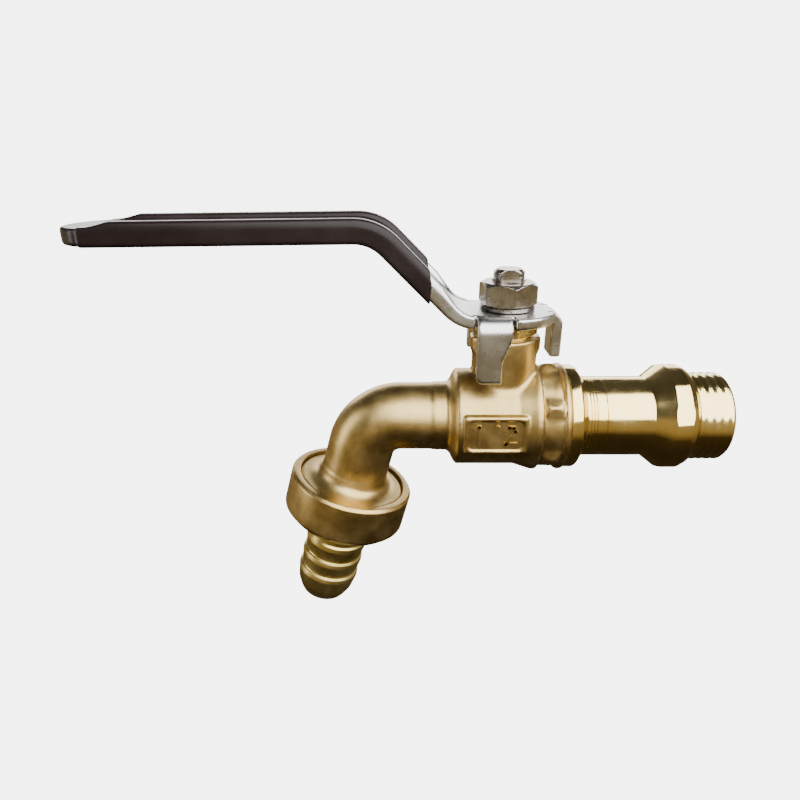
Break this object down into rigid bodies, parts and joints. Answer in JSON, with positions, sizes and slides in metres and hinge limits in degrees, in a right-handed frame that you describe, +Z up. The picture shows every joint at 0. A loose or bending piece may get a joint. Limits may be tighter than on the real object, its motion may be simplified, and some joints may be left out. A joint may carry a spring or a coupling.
{
  "type": "lever ball bibcock with hose union",
  "caption": "Brass lever ball bibcock: threaded inlet tailpiece, ball chamber, bent steel lever with dipped grip, angled spout with union nut and barbed hose tail.",
  "frame": {"origin": "centre of the inlet thread's shoulder plane, on the pipe axis", "axes": "+X out of the tap along the inlet thread towards the supply, +Z up along the stem, the outlet points down and the open lever towards -X"},
  "size_m": [0.1478, 0.0304, 0.0985],
  "materials": {
    "cast_brass": "sand-blasted",
    "bright_brass": "turned and polished",
    "bare_steel": "zinc-plated",
    "plated_ball": "polished",
    "white_plastic": "smooth",
    "fibre": "pressed",
    "black_rubber": "matt",
    "dipped_vinyl": "satin"
  },
  "bodies": {
    "valve": {"body": "cast_brass", "tailpiece": "bright_brass", "joint_ring": "fibre", "outlet_seat": "white_plastic", "inlet_seat": "white_plastic", "thrust_washer": "white_plastic", "lower_packing": "white_plastic", "upper_packing": "white_plastic", "gland_ring": "bright_brass", "packing_nut": "bright_brass"},
    "handle": {"lever": "bare_steel", "grip_sleeve": "dipped_vinyl", "spring_washer": "bare_steel", "handle_nut": "bare_steel", "stem": "bare_steel", "stem_ring": "black_rubber", "ball": "plated_ball"},
    "tail": {"hose_tail": "bright_brass", "hose_washer": "black_rubber"},
    "coupling_nut": {"union_nut": "cast_brass"}
  },
  "joints": [
    {"name": "lever_turn", "type": "hinge", "parent": "valve", "child": "handle", "pos_m": [-0.0438, 0, 0.0283], "axis": [0, 0, -1], "range_deg": [0, 90]},
    {"name": "tail_drop", "type": "slide", "parent": "valve", "child": "tail", "axis": [-0.2588, 0, -0.9659], "range_m": [0, 0.00544]},
    {"name": "union_turn", "type": "hinge", "parent": "tail", "child": "coupling_nut", "pos_m": [-0.0812, 0, -0.0221], "axis": [-0.2588, 0, -0.9659], "range_deg": [0, 1080]}
  ],
  "couplings": [
    {"joint": "tail_drop", "follows": "union_turn", "m_per_rad": 0.00028871}
  ]
}
